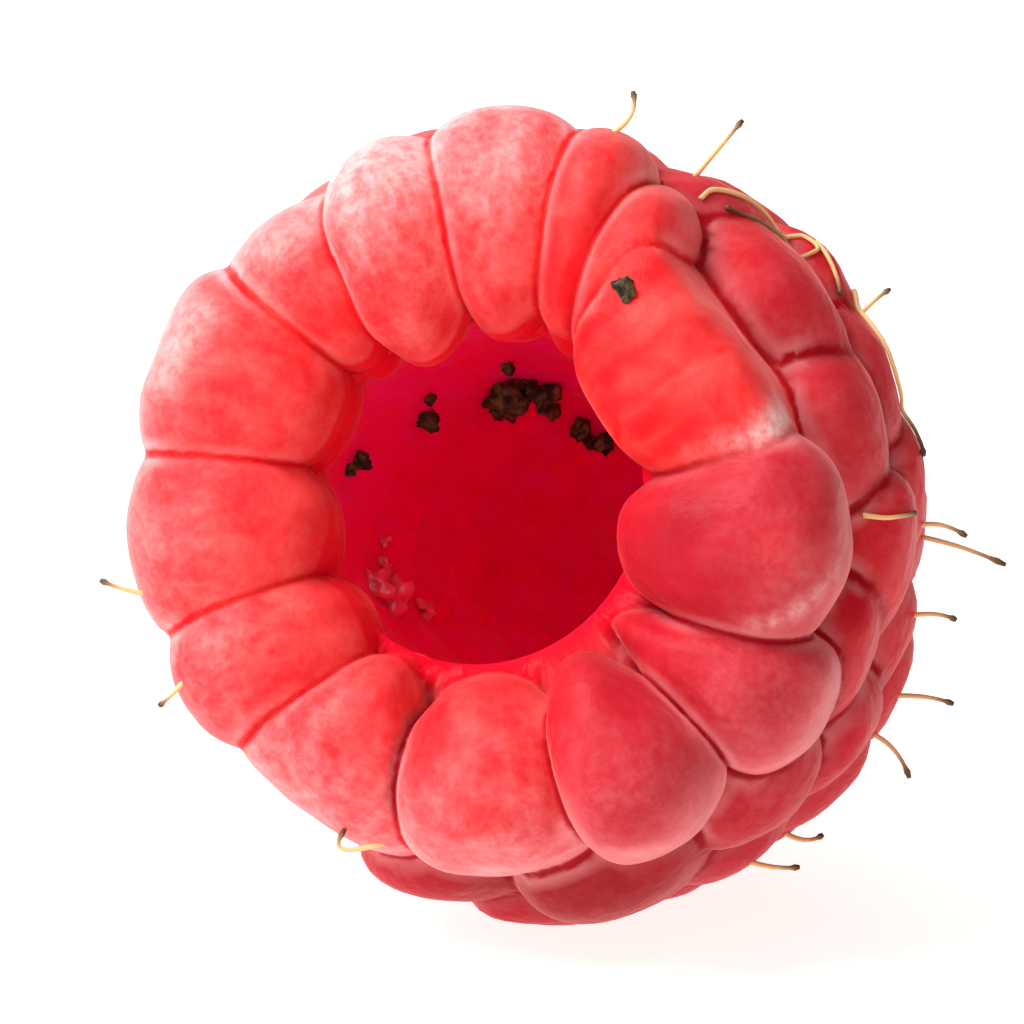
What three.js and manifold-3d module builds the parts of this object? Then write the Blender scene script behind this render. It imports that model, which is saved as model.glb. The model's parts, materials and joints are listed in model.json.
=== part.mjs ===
// A raspberry as picked: a hollow thimble of drupelets, its core left behind on the plant.
// It lies on its flank with the open end towards -Y, turned a little up. Millimetres, +Z up, surface at z = 0.
// The berry's own frame has +Y from the open end to the tip and its origin on the axis at the rim.
import * as THREE from "three";
import { mergeVertices } from "three/addons/utils/BufferGeometryUtils.js";
import Module from "manifold-3d";

const wasm = await Module();
wasm.setup();

const degrees = Math.PI / 180;

// Driving dimensions, mm. A radius or depth of the fruit is measured to the tops of its drupelets.
const fruit = {
  radius: 9.75, // at its widest row
  widestDepth: 6.2, // from the rim back to the widest row
  noseLength: 13.7, // from the widest row to the tip
  shoulderLength: 10.6, // half-length of the ellipse that closes in towards the rim
  oval: 0.015, // share by which it is taller than round, as it lies
};
const hollow = {
  radius: 4.45, // of the wall that the core left
  widestDepth: 5.4,
  noseLength: 9.4,
  shoulderLength: 8.4,
  mouthDepth: 2.5, // where the wall ends under the rim drupelets
};
const drupelets = {
  count: 64, // behind the rim
  pitch: 4.05, // from one top to the next
  swell: 1.2, // their width over the pitch, so that neighbours press together
  capRise: 0.93, // height of the rounded end over its half-width
  rootDepth: 0.35, // how far short of the hollow's wall an inner end stops
  slighter: 0.25, // how much lower they all stand than their row
  fuller: 0.5, // how much further they stand out on the berry's fuller side
  fullerSide: 320 * degrees, // from +X towards +Z
  wider: 0.3, // and on the two opposite sides where it is wider
  widerSide: 295 * degrees,
  dimple: 1.5, // how far they are sunk on the side where it was held
  dimpleSide: 240 * degrees,
  dimpleSpread: 18 * degrees,
  squareness: 2.4, // exponent of the pillow shape at the outer end: 2 is an ellipsoid
  rootSquareness: 3.2,
};
const rim = {
  // Each drupelet's shares, in degrees, of the rim's outer edge and of the hollow's edge, how far it stands
  // further out, into the hollow and ahead, and the exponent of its pillow shape.
  row: [
    { outer: 46, inner: 34, out: -1.5, reach: 0.45, ahead: 0.6, square: 3 },
    { outer: 11, inner: 13, out: -0.6, reach: 0.2, ahead: -0.1, square: 2.2 },
    { outer: 11, inner: 14, out: 0.1, reach: 0.2, ahead: -0.15, square: 2.2 },
    { outer: 22, inner: 26, out: 0.1, reach: 0.4, ahead: 0.15, square: 2.3 },
    { outer: 17, inner: 32, out: -0.3, reach: 0.8, ahead: 0.6, square: 2.1 },
    { outer: 27, inner: 11, out: -0.5, reach: 0.2, ahead: -0.2, square: 2.3 },
    { outer: 32, inner: 35, out: -0.3, reach: 0.4, ahead: 0.2, square: 2.5 },
    { outer: 29, inner: 38, out: -0.3, reach: 0.6, ahead: 0.15, square: 2.4 },
    { outer: 20, inner: 36, out: -0.35, reach: 0.2, ahead: -0.1, square: 2.3 },
    { outer: 39, inner: 8, out: -0.4, reach: 0, ahead: -0.3, square: 2.3 },
    { outer: 29, inner: 41, out: 0, reach: -0.3, ahead: 0.3, square: 2.2 },
    { outer: 23, inner: 20, out: 0.9, reach: -0.7, ahead: 0.9, square: 2.2 },
    { outer: 24, inner: 7, out: 1.1, reach: -0.4, ahead: -0.5, square: 2.1 },
    { outer: 30, inner: 45, out: 0.5, reach: 0.3, ahead: 0.7, square: 2 },
  ],
  outerStart: 12 * degrees, // from +X towards +Z
  innerStart: 10 * degrees,
  polar: 109 * degrees, // the row's place on the fruit's ellipse
  press: 0.45, // how far each one reaches into its neighbours
  halfThickness: 2.5,
  cap: 2.2,
};
const core = { depthUnderTops: 2.15, sides: 24, rings: 6 }; // the flesh that the drupelets root in
const rest = { tilt: 18 * degrees, height: 11.95, forward: -8.09, sideways: -0.45 }; // of the rim's centre

// A seeded draw from -1 to 1.
function draw(index, salt) {
  const wave = Math.sin(index * 12.9898 + salt * 78.233) * 43758.5453;
  return 2 * (wave - Math.floor(wave)) - 1;
}

// A place on an ellipse turned about the axis: polar is 0 at the tip and 90 degrees at the widest row.
function onEllipse(shape, polar, around) {
  const reach = Math.cos(polar) > 0 ? shape.noseLength : shape.shoulderLength;
  const oval = 1 - (shape.oval ?? 0) * Math.cos(2 * around);
  const radial = shape.radius * Math.sin(polar) * oval;
  const depth = shape.widestDepth + reach * Math.cos(polar);
  return new THREE.Vector3(radial * Math.cos(around), depth, radial * Math.sin(around));
}

// The polar angle and angle around the axis of the fruit's surface under a point.
function anglesOf(point) {
  const ahead = point.y - fruit.widestDepth;
  const reach = ahead > 0 ? fruit.noseLength : fruit.shoulderLength;
  const polar = Math.atan2(Math.hypot(point.x, point.z) / fruit.radius, ahead / reach);
  return { polar, around: Math.atan2(point.z, point.x) };
}

// The drupelets of the rim, side by side with their own widths.
function rimDrupelets() {
  let outerAngle = rim.outerStart;
  let innerAngle = rim.innerStart;
  return rim.row.map(({ outer, inner, out, reach, ahead, square }, index) => {
    const outerHalf = (outer / 2) * degrees;
    const innerHalf = (inner / 2) * degrees;
    outerAngle += 2 * outerHalf;
    innerAngle += 2 * innerHalf;
    return {
      index,
      polar: rim.polar,
      around: outerAngle - outerHalf,
      rootAround: innerAngle - innerHalf,
      outerWidth: outerHalf * fruit.radius + rim.press,
      innerWidth: innerHalf * hollow.radius + rim.press,
      halfHeight: rim.halfThickness * (1 + 0.05 * draw(index, 2)),
      cap: rim.cap,
      squareness: square,
      rootSquareness: square,
      rootDepth: -reach,
      rise: out,
      ahead,
      twist: 0,
    };
  });
}

// How much further a drupelet stands out than its row on that side of the berry.
function fullness(around) {
  const { slighter, fuller, fullerSide, wider, widerSide, dimple, dimpleSide, dimpleSpread } = drupelets;
  const turn = 2 * Math.PI;
  const toDimple = ((around - dimpleSide + 1.5 * turn) % turn) - turn / 2;
  const sunk = dimple * Math.exp(-((toDimple / dimpleSpread) ** 2));
  return fuller * Math.cos(around - fullerSide) + wider * Math.cos(2 * (around - widerSide)) - slighter - sunk;
}

// The other drupelets start on a spiral and push each other apart until they lie evenly.
function packedDrupelets(rimRow) {
  const goldenAngle = 137.508 * degrees;
  const lowestPolar = 92 * degrees;
  const fixed = rimRow.map((d) => ({ place: onEllipse(fruit, d.polar, d.around), size: 1 }));
  const loose = [];
  for (let i = 0; i < drupelets.count; i++) {
    const fall = ((i + 0.5) / drupelets.count) * (1 - Math.cos(lowestPolar));
    const place = onEllipse(fruit, Math.acos(1 - fall), i * goldenAngle);
    loose.push({ place, size: 1 + 0.16 * draw(i, 4) });
  }
  const all = fixed.concat(loose);
  const push = new THREE.Vector3();
  const apart = new THREE.Vector3();
  for (let round = 0; round < 60; round++) {
    for (const one of loose) {
      push.set(0, 0, 0);
      for (const other of all) {
        if (other === one) continue;
        apart.subVectors(one.place, other.place);
        const reach = drupelets.pitch * 1.12 * 0.5 * (one.size + other.size);
        const distance = apart.length();
        if (distance < reach) push.addScaledVector(apart, (0.3 * (reach - distance)) / distance);
      }
      const { polar, around } = anglesOf(push.add(one.place));
      one.place = onEllipse(fruit, Math.min(polar, lowestPolar), around);
    }
  }
  return loose.map((one, i) => {
    const halfWidth = 0.5 * drupelets.pitch * drupelets.swell * one.size;
    const { polar, around } = anglesOf(one.place);
    return {
      index: i + rimRow.length,
      polar,
      around,
      rootAround: around,
      outerWidth: halfWidth * (1 + 0.06 * draw(i, 5)),
      innerWidth: halfWidth * (1 + 0.06 * draw(i, 5)),
      halfHeight: halfWidth * (1 - 0.06 * draw(i, 6)),
      cap: halfWidth * drupelets.capRise,
      squareness: drupelets.squareness,
      rootSquareness: drupelets.rootSquareness,
      rootDepth: drupelets.rootDepth,
      rise: 0.25 * draw(i, 7) + fullness(around) * Math.sin(polar),
      ahead: 0,
      twist: 0.6 * draw(i, 8),
    };
  });
}

// One drupelet: a round cap outside, narrowing to a root at the wall of the hollow.
function drupeletGeometry(drupelet, detail) {
  const top = onEllipse(fruit, drupelet.polar, drupelet.around);
  const root = onEllipse(hollow, drupelet.polar, drupelet.rootAround);
  const axis = top.clone().sub(root).normalize();
  const tangent = new THREE.Vector3(-Math.sin(drupelet.around), 0, Math.cos(drupelet.around));
  const along = new THREE.Vector3().crossVectors(axis, tangent).normalize();
  const side = new THREE.Vector3().crossVectors(along, axis);
  top.addScaledVector(axis, drupelet.rise).y -= drupelet.ahead;
  root.addScaledVector(axis, drupelet.rootDepth).y -= drupelet.ahead;
  const middle = top.clone().addScaledVector(axis, -drupelet.cap);
  const rootLength = middle.distanceTo(root);
  const widening = (drupelet.outerWidth - drupelet.innerWidth) / (drupelet.cap + rootLength);
  const leanX = 0.3 * draw(drupelet.index, 9);
  const leanY = 0.3 * draw(drupelet.index, 10);
  const cosTwist = Math.cos(drupelet.twist);
  const sinTwist = Math.sin(drupelet.twist);

  const geometry = new THREE.IcosahedronGeometry(1, detail);
  const positions = geometry.getAttribute("position");
  const v = new THREE.Vector3();
  for (let i = 0; i < positions.count; i++) {
    v.fromBufferAttribute(positions, i);
    const p = v.z > 0 ? drupelet.squareness : drupelet.rootSquareness;
    const pillow = (Math.abs(v.x) ** p + Math.abs(v.y) ** p + Math.abs(v.z) ** p) ** (-1 / p);
    v.multiplyScalar(pillow);
    const outwards = Math.max(0, v.z) ** 2;
    const z = v.z * (v.z > 0 ? drupelet.cap : rootLength);
    const x = v.x * (drupelet.innerWidth + widening * (rootLength + z)) + leanX * outwards;
    const y = v.y * drupelet.halfHeight + leanY * outwards;
    v.copy(middle)
      .addScaledVector(side, x * cosTwist - y * sinTwist)
      .addScaledVector(along, x * sinTwist + y * cosTwist)
      .addScaledVector(axis, z);
    positions.setXYZ(i, v.x, v.y, v.z);
  }
  return geometry;
}

// The flesh between the hollow's wall and the roots of the drupelets, turned about the axis.
function coreGeometry() {
  const outer = {
    radius: fruit.radius - core.depthUnderTops,
    widestDepth: fruit.widestDepth,
    noseLength: fruit.noseLength - core.depthUnderTops,
    shoulderLength: fruit.shoulderLength,
  };
  const section = (shape, share) => {
    const mouth = Math.acos((hollow.mouthDepth - shape.widestDepth) / shape.shoulderLength);
    const place = onEllipse(shape, mouth * share, 0);
    return new THREE.Vector2(share === 0 ? 0 : place.x, place.y);
  };
  const profile = [];
  for (let i = 0; i <= core.rings; i++) profile.push(section(hollow, i / core.rings));
  for (let i = core.rings; i >= 0; i--) profile.push(section(outer, i / core.rings));
  return new THREE.LatheGeometry(profile, core.sides);
}

function solidOf(geometry) {
  const bare = geometry.clone();
  bare.deleteAttribute("normal");
  bare.deleteAttribute("uv");
  const merged = mergeVertices(bare, 1e-4);
  return new wasm.Manifold(
    new wasm.Mesh({
      numProp: 3,
      vertProperties: merged.getAttribute("position").array,
      triVerts: new Uint32Array(merged.index.array),
    }),
  );
}

function geometryOf(solid) {
  const mesh = solid.getMesh();
  const geometry = new THREE.BufferGeometry();
  geometry.setAttribute("position", new THREE.BufferAttribute(mesh.vertProperties, 3));
  geometry.setIndex(new THREE.BufferAttribute(mesh.triVerts, 1));
  geometry.computeVertexNormals();
  return geometry;
}

// The largest closed body of a solid, without the pockets sealed in between drupelets.
function withoutPockets(solid) {
  return solid.decompose().reduce((a, b) => (a.volume() > b.volume() ? a : b));
}

const pose = new THREE.Object3D();
pose.rotation.x = -rest.tilt;
pose.position.set(rest.sideways, rest.forward, rest.height);
pose.updateMatrix();

// A block under the surface, in the berry's own frame, that flattens what it lies on.
function underSurface() {
  const size = 60;
  const block = new THREE.BoxGeometry(size, size, size);
  block.translate(0, 0, -size / 2);
  return block.applyMatrix4(pose.matrix.clone().invert());
}

function fruitGeometry() {
  const rimRow = rimDrupelets();
  const placed = rimRow.concat(packedDrupelets(rimRow));
  const solids = placed.map((d) => solidOf(drupeletGeometry(d, 2)));
  const joined = wasm.Manifold.union([solidOf(coreGeometry()), ...solids]);
  return geometryOf(withoutPockets(joined.subtract(solidOf(underSurface()))));
}

const flesh = new THREE.MeshStandardMaterial({ color: 0xc8202f, roughness: 0.42, metalness: 0 });
const raspberry = new THREE.Mesh(fruitGeometry(), flesh);
raspberry.name = "raspberry";
raspberry.rotation.copy(pose.rotation);
raspberry.position.copy(pose.position);

const part = new THREE.Group();
part.add(raspberry);
export default part;
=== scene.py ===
# A picked raspberry lying on its flank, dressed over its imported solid.
# Settings are in millimetres in the berry's own frame: +Y from the open end to the tip, origin at the rim.
import json
import math

import bmesh
import bpy
import numpy as np
from mathutils import Matrix, Vector, noise
from mathutils.bvhtree import BVHTree
from mathutils.kdtree import KDTree

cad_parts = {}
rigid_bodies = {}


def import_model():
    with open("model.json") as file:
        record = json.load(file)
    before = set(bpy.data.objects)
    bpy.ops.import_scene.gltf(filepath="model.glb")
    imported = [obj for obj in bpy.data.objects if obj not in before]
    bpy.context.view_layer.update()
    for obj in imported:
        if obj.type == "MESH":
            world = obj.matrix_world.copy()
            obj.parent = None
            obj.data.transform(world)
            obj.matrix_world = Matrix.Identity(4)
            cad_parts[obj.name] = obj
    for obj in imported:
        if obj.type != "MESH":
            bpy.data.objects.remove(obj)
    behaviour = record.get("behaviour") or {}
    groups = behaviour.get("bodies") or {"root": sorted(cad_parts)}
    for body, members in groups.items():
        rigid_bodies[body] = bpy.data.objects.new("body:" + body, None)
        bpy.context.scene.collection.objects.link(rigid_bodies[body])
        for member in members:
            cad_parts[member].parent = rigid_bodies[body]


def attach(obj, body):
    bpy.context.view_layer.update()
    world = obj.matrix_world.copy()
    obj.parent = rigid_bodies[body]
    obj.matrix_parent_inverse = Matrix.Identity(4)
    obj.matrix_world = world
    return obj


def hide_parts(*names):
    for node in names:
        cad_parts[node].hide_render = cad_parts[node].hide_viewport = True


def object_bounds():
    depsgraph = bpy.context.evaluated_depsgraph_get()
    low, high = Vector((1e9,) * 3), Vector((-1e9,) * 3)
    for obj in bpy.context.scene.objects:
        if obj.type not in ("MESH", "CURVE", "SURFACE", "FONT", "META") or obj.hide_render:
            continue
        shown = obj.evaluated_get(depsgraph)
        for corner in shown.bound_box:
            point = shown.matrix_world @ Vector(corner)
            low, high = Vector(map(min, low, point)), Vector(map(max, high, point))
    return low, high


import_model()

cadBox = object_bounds()
mm = 0.001
degree = math.pi / 180


def draw(index, salt):
    # a seeded draw from -1 to 1, the same for the same index and salt
    wave = math.sin(index * 12.9898 + salt * 78.233) * 43758.5453
    return 2 * (wave - math.floor(wave)) - 1


def addNode(tree, kind, inputs=None, **settings):
    node = tree.nodes.new(kind)
    for name, value in settings.items():
        setattr(node, name, value)
    for socket, value in (inputs or {}).items():
        if isinstance(value, bpy.types.NodeSocket):
            tree.links.new(value, node.inputs[socket])
        else:
            node.inputs[socket].default_value = value
    return node


def srgb(hexColour):
    # sRGB hex to linear red, green, blue, alpha
    parts = [int(hexColour[i:i + 2], 16) / 255 for i in (1, 3, 5)]
    linear = [p / 12.92 if p <= 0.04045 else ((p + 0.055) / 1.055) ** 2.4 for p in parts]
    return (*linear, 1.0)


def newMaterial(name):
    material = bpy.data.materials.new(name)
    material.use_nodes = True
    material.node_tree.nodes.clear()
    return material, material.node_tree


def meshObject(name, bm):
    mesh = bpy.data.meshes.new(name)
    bm.to_mesh(mesh)
    bm.free()
    obj = bpy.data.objects.new(name, mesh)
    bpy.context.scene.collection.objects.link(obj)
    return obj


rest = dict(tilt=18 * degree, height=11.95, forward=-8.09, sideways=-0.45)  # how it lies
toFrame = (
    Matrix.Scale(mm, 4)
    @ Matrix.Translation((rest["sideways"], rest["forward"], rest["height"]))
    @ Matrix.Rotation(-rest["tilt"], 4, "X")
)

fruit = dict(
    radius=9.75,  # at its widest row
    widestDepth=6.2,  # from the rim back to the widest row
    noseLength=13.7,  # from the widest row to the tip
    shoulderLength=10.6,  # half-length of the ellipse that closes in towards the rim
    oval=0.015,  # share by which it is taller than round, as it lies
)
hollow = dict(radius=4.45, widestDepth=5.4, noseLength=9.4, shoulderLength=8.4, oval=0)
mouthDepth = 2.5  # where the hollow's wall ends under the rim drupelets
drupelets = dict(
    count=64,  # behind the rim
    pitch=4.05,
    sizeSpread=0.16,  # share by which their sizes differ
    spiralTurn=137.508 * degree,  # from each one to the next on the spiral that they start on
    lowestPolar=92 * degree,  # how far round from the tip they reach
    keepApart=1.12,  # distance over pitch within which they push each other
    push=0.3,  # share of the overlap that one round pushes out
    rounds=60,
    swell=1.2,  # width over pitch, so that neighbours press together
    outOfRound=0.06,
    capRise=0.93,  # height of the rounded end over its half-width
    squareness=2.4,  # exponent of the pillow shape at the outer end
    rootSquareness=3.2,
    rootDepth=0.1,  # inner ends stop just short of the hollow's wall
    leastWidth=0.3,  # half-width that they keep at the root
    riseSpread=0.25,
    twist=0.6,  # radians that they are turned about their axis, at most
    lean=0.3,  # how far their outer ends lean over
    slighter=0.25,  # how much lower they all stand than their row
    fuller=0.5,  # how much further they stand out on the berry's fuller side
    fullerSide=320 * degree,  # from +X towards +Z
    wider=0.3,  # and on the two opposite sides where it is wider
    widerSide=295 * degree,
    dimple=1.5,  # how far they are sunk on the side where it was held
    dimpleSide=240 * degree,
    dimpleSpread=18 * degree,
    dent=0.13,  # how far the skin dips and swells
    dentSize=1.5,
    creaseRound=0.18,  # mm either side of a crease that is rounded
    creaseSteps=6,
    flatEdge=0.03,  # mm above the flats that stay as they are
    subdivisions=4,
)
rim = dict(
    # each one's shares, in degrees, of the rim's outer edge and of the hollow's edge, how far it stands
    # further out, into the hollow and ahead, and the exponent of its pillow shape
    row=[
        (46, 34, -1.5, 0.45, 0.6, 3), (11, 13, -0.6, 0.2, -0.1, 2.2),
        (11, 14, 0.1, 0.2, -0.15, 2.2), (22, 26, 0.1, 0.4, 0.15, 2.3),
        (17, 32, -0.3, 0.8, 0.6, 2.1), (27, 11, -0.5, 0.2, -0.2, 2.3),
        (32, 35, -0.3, 0.4, 0.2, 2.5), (29, 38, -0.3, 0.6, 0.15, 2.4),
        (20, 36, -0.35, 0.2, -0.1, 2.3), (39, 8, -0.4, 0, -0.3, 2.3),
        (29, 41, 0, -0.3, 0.3, 2.2), (23, 20, 0.9, -0.7, 0.9, 2.2),
        (24, 7, 1.1, -0.4, -0.5, 2.1), (30, 45, 0.5, 0.3, 0.7, 2),
    ],
    outerStart=12 * degree,  # from +X towards +Z
    innerStart=10 * degree,
    polar=109 * degree,
    press=0.45,  # how far each one reaches into its neighbours
    halfThickness=2.5,
    uneven=0.05,  # share by which their thickness differs
    cap=2.2,
    subdivisions=5,
)
core = dict(depthUnderTops=2.15, sides=64, rings=16)  # the flesh under the drupelets


def onEllipse(shape, polar, around):
    # a place on an ellipse turned about the axis: polar 0 is the tip, 90 degrees the widest row
    reach = shape["noseLength"] if math.cos(polar) > 0 else shape["shoulderLength"]
    oval = 1 - shape["oval"] * math.cos(2 * around)
    radial = shape["radius"] * math.sin(polar) * oval
    depth = shape["widestDepth"] + reach * math.cos(polar)
    return Vector((radial * math.cos(around), depth, radial * math.sin(around)))


def anglesOf(point):
    ahead = point.y - fruit["widestDepth"]
    reach = fruit["noseLength"] if ahead > 0 else fruit["shoulderLength"]
    polar = math.atan2(math.hypot(point.x, point.z) / fruit["radius"], ahead / reach)
    return polar, math.atan2(point.z, point.x)


def rimDrupelets():
    row = []
    outerAngle = rim["outerStart"]
    innerAngle = rim["innerStart"]
    for index, (outer, inner, out, reach, ahead, square) in enumerate(rim["row"]):
        outerHalf = outer / 2 * degree
        innerHalf = inner / 2 * degree
        outerAngle += 2 * outerHalf
        innerAngle += 2 * innerHalf
        row.append(dict(
            index=index,
            onRim=True,
            polar=rim["polar"],
            around=outerAngle - outerHalf,
            rootAround=innerAngle - innerHalf,
            outerWidth=outerHalf * fruit["radius"] + rim["press"],
            innerWidth=innerHalf * hollow["radius"] + rim["press"],
            halfHeight=rim["halfThickness"] * (1 + rim["uneven"] * draw(index, 2)),
            cap=rim["cap"],
            squareness=square,
            rootSquareness=square,
            rootDepth=-reach,
            rise=out,
            ahead=ahead,
            twist=0,
        ))
    return row


def fullness(around):
    # how much further a drupelet stands out than its row on that side of the berry
    toFuller = drupelets["fuller"] * math.cos(around - drupelets["fullerSide"])
    toWider = drupelets["wider"] * math.cos(2 * (around - drupelets["widerSide"]))
    turn = 2 * math.pi
    toDimple = (around - drupelets["dimpleSide"] + 1.5 * turn) % turn - turn / 2
    sunk = drupelets["dimple"] * math.exp(-((toDimple / drupelets["dimpleSpread"]) ** 2))
    return toFuller + toWider - drupelets["slighter"] - sunk


def packedDrupelets(rimRow):
    # the others start on a spiral and push each other apart until they lie evenly
    lowest = drupelets["lowestPolar"]
    fixed = [dict(place=onEllipse(fruit, d["polar"], d["around"]), size=1) for d in rimRow]
    loose = []
    for i in range(drupelets["count"]):
        fall = (i + 0.5) / drupelets["count"] * (1 - math.cos(lowest))
        place = onEllipse(fruit, math.acos(1 - fall), i * drupelets["spiralTurn"])
        loose.append(dict(place=place, size=1 + drupelets["sizeSpread"] * draw(i, 4)))
    everyone = fixed + loose
    for step in range(drupelets["rounds"]):
        for one in loose:
            push = Vector((0, 0, 0))
            for other in everyone:
                if other is one:
                    continue
                apart = one["place"] - other["place"]
                reach = drupelets["pitch"] * drupelets["keepApart"] * 0.5 * (one["size"] + other["size"])
                distance = apart.length
                if distance < reach:
                    push += apart * (drupelets["push"] * (reach - distance) / distance)
            polar, around = anglesOf(one["place"] + push)
            one["place"] = onEllipse(fruit, min(polar, lowest), around)
    row = []
    for i, one in enumerate(loose):
        halfWidth = 0.5 * drupelets["pitch"] * drupelets["swell"] * one["size"]
        polar, around = anglesOf(one["place"])
        width = halfWidth * (1 + drupelets["outOfRound"] * draw(i, 5))
        row.append(dict(
            index=i + len(rimRow),
            onRim=False,
            polar=polar,
            around=around,
            rootAround=around,
            outerWidth=width,
            innerWidth=width,
            halfHeight=halfWidth * (1 - drupelets["outOfRound"] * draw(i, 6)),
            cap=halfWidth * drupelets["capRise"],
            squareness=drupelets["squareness"],
            rootSquareness=drupelets["rootSquareness"],
            rootDepth=drupelets["rootDepth"],
            rise=drupelets["riseSpread"] * draw(i, 7) + fullness(around) * math.sin(polar),
            ahead=0,
            twist=drupelets["twist"] * draw(i, 8),
        ))
    return row


def placeDrupelet(drupelet):
    # adds where the drupelet stands: its middle, its axis outwards and its two sideways directions
    around = drupelet["around"]
    top = onEllipse(fruit, drupelet["polar"], around)
    root = onEllipse(hollow, drupelet["polar"], drupelet["rootAround"])
    axis = (top - root).normalized()
    along = axis.cross(Vector((-math.sin(around), 0, math.cos(around)))).normalized()
    side = along.cross(axis)
    forwards = Vector((0, -drupelet["ahead"], 0))
    top += axis * drupelet["rise"] + forwards
    root += axis * drupelet["rootDepth"] + forwards
    middle = top - axis * drupelet["cap"]
    rootLength = (middle - root).length
    turn = drupelet["twist"]
    drupelet.update(
        middle=middle,
        axis=axis,
        sideways=side * math.cos(turn) + along * math.sin(turn),
        lengthways=along * math.cos(turn) - side * math.sin(turn),
        rootLength=rootLength,
        widening=(drupelet["outerWidth"] - drupelet["innerWidth"]) / (drupelet["cap"] + rootLength),
        leanX=drupelets["lean"] * draw(drupelet["index"], 9),
        leanY=drupelets["lean"] * draw(drupelet["index"], 10),
    )
    return drupelet


def drupeletMesh(drupelet, subdivisions):
    bm = bmesh.new()
    bmesh.ops.create_icosphere(bm, subdivisions=subdivisions, radius=1)
    for vert in bm.verts:
        v = vert.co
        p = drupelet["squareness"] if v.z > 0 else drupelet["rootSquareness"]
        v = v * (abs(v.x) ** p + abs(v.y) ** p + abs(v.z) ** p) ** (-1 / p)
        outwards = max(0, v.z) ** 2
        z = v.z * (drupelet["cap"] if v.z > 0 else drupelet["rootLength"])
        width = drupelet["innerWidth"] + drupelet["widening"] * (drupelet["rootLength"] + z)
        x = v.x * width + drupelet["leanX"] * outwards
        y = v.y * drupelet["halfHeight"] + drupelet["leanY"] * outwards
        fromMiddle = drupelet["sideways"] * x + drupelet["lengthways"] * y + drupelet["axis"] * z
        dip = noise.noise((drupelet["middle"] + fromMiddle) / drupelets["dentSize"])
        vert.co = drupelet["middle"] + fromMiddle * (1 + drupelets["dent"] * dip / drupelet["cap"])
    bm.transform(toFrame)
    return bm


def coreMesh():
    # the flesh between the hollow's wall and the roots, spun about the berry's axis
    outer = dict(fruit, radius=fruit["radius"] - core["depthUnderTops"],
                 noseLength=fruit["noseLength"] - core["depthUnderTops"])
    bm = bmesh.new()
    loop = []
    for shape, steps in ((hollow, range(core["rings"] + 1)), (outer, range(core["rings"], -1, -1))):
        mouth = math.acos((mouthDepth - shape["widestDepth"]) / shape["shoulderLength"])
        for i in steps:
            place = onEllipse(dict(shape, oval=0), mouth * i / core["rings"], 0)
            if i == 0:
                place.x = 0
            loop.append(bm.verts.new(place))
    edges = [bm.edges.new(pair) for pair in zip(loop, loop[1:])]
    bmesh.ops.spin(bm, geom=loop + edges, axis=(0, 1, 0), cent=(0, 0, 0), angle=2 * math.pi,
                   steps=core["sides"], use_merge=True)
    bmesh.ops.remove_doubles(bm, verts=bm.verts, dist=1e-5)
    bmesh.ops.recalc_face_normals(bm, faces=bm.faces)
    bm.transform(toFrame)
    return bm


def fuseBerry(placed):
    # every drupelet is joined with the core in one union, so that they meet in tight creases
    berry = meshObject("berry", coreMesh())
    parts = bpy.data.collections.new("drupelets")
    bpy.context.scene.collection.children.link(parts)
    for drupelet in placed:
        fine = rim if drupelet["onRim"] else drupelets
        piece = meshObject(f"drupelet{drupelet['index']}", drupeletMesh(drupelet, fine["subdivisions"]))
        bpy.context.scene.collection.objects.unlink(piece)
        parts.objects.link(piece)
    union = berry.modifiers.new("union", "BOOLEAN")
    union.operation = "UNION"
    union.operand_type = "COLLECTION"
    union.collection = parts
    union.solver = "MANIFOLD"
    bpy.context.view_layer.update()
    fused = bpy.data.meshes.new_from_object(berry.evaluated_get(bpy.context.evaluated_depsgraph_get()))
    berry.modifiers.clear()
    berry.data = fused
    for piece in list(parts.objects):
        bpy.data.objects.remove(piece)
    bpy.data.collections.remove(parts)
    return berry


def pressFlat(berry):
    # what would reach below the surface is cut away and closed flat
    bm = bmesh.new()
    bm.from_mesh(berry.data)
    cut = bmesh.ops.bisect_plane(bm, geom=bm.verts[:] + bm.edges[:] + bm.faces[:], dist=1e-8,
                                 plane_co=(0, 0, 0), plane_no=(0, 0, -1), clear_outer=True)
    rims = [e for e in cut["geom_cut"] if isinstance(e, bmesh.types.BMEdge)]
    bmesh.ops.holes_fill(bm, edges=rims)
    bmesh.ops.triangulate(bm, faces=[f for f in bm.faces if len(f.verts) > 4])
    bm.to_mesh(berry.data)
    bm.free()


def inDrupelet(points, drupelet):
    # the points' places across, along and out of one drupelet, in mm from its middle
    offset = points - np.array(drupelet["middle"])
    ways = [np.array(drupelet[way]) for way in ("sideways", "lengthways", "axis")]
    return np.stack([offset @ way for way in ways], axis=1)


def pillowLevels(points, placed):
    # how far each point is through each drupelet: 1 on its skin, more outside it
    levels = np.empty((len(placed), len(points)))
    for row, drupelet in enumerate(placed):
        x, y, z = inDrupelet(points, drupelet).T
        vz = np.where(z > 0, z / drupelet["cap"], z / drupelet["rootLength"])
        outwards = np.maximum(0, vz) ** 2
        width = drupelet["innerWidth"] + drupelet["widening"] * (drupelet["rootLength"] + z)
        width = np.maximum(width, drupelets["leastWidth"])
        x = (x - drupelet["leanX"] * outwards) / width
        y = (y - drupelet["leanY"] * outwards) / drupelet["halfHeight"]
        p = np.where(z > 0, drupelet["squareness"], drupelet["rootSquareness"])
        levels[row] = (np.abs(x) ** p + np.abs(y) ** p + np.abs(vz) ** p) ** (1 / p)
    return levels


def smoothStep(low, high, values):
    t = np.clip((values - low) / (high - low), 0, 1)
    return t * t * (3 - 2 * t)


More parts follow.
